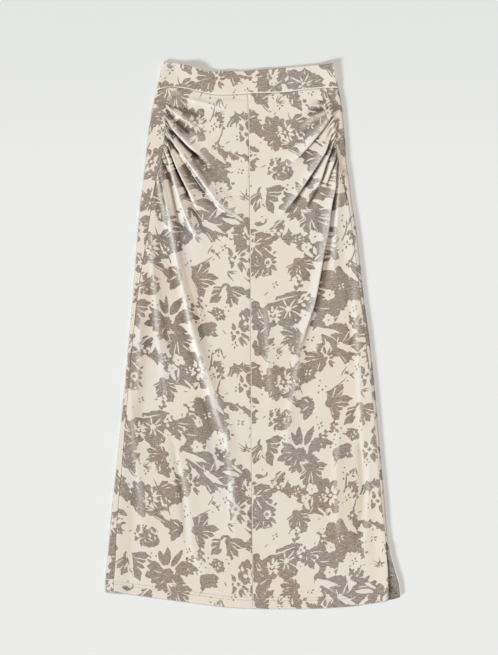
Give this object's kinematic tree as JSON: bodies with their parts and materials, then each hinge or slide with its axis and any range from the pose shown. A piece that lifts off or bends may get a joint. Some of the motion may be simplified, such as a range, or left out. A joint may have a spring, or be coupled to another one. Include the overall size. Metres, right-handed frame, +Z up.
{
  "type": "gathered skirt",
  "caption": "Long A-line skirt laid flat, with a plain waistband, a front gathered into both side seams, a centre-front seam and a side slit.",
  "frame": {"origin": "centre of the laid skirt's outline, on the surface it lies on", "axes": "+Y towards the waistband along the skirt's length, +X to the right as the front is seen from above, +Z up from the surface"},
  "size_m": [0.5449, 1.0106, 0.0104],
  "materials": {
    "printed_satin": "soft satin with a fine crosswise slub, cream ground with a taupe floral print"
  },
  "bodies": {
    "root": {"waistband_front": "printed_satin", "waistband_back": "printed_satin", "front_left": "printed_satin", "front_right": "printed_satin", "back": "printed_satin"}
  },
  "joints": []
}
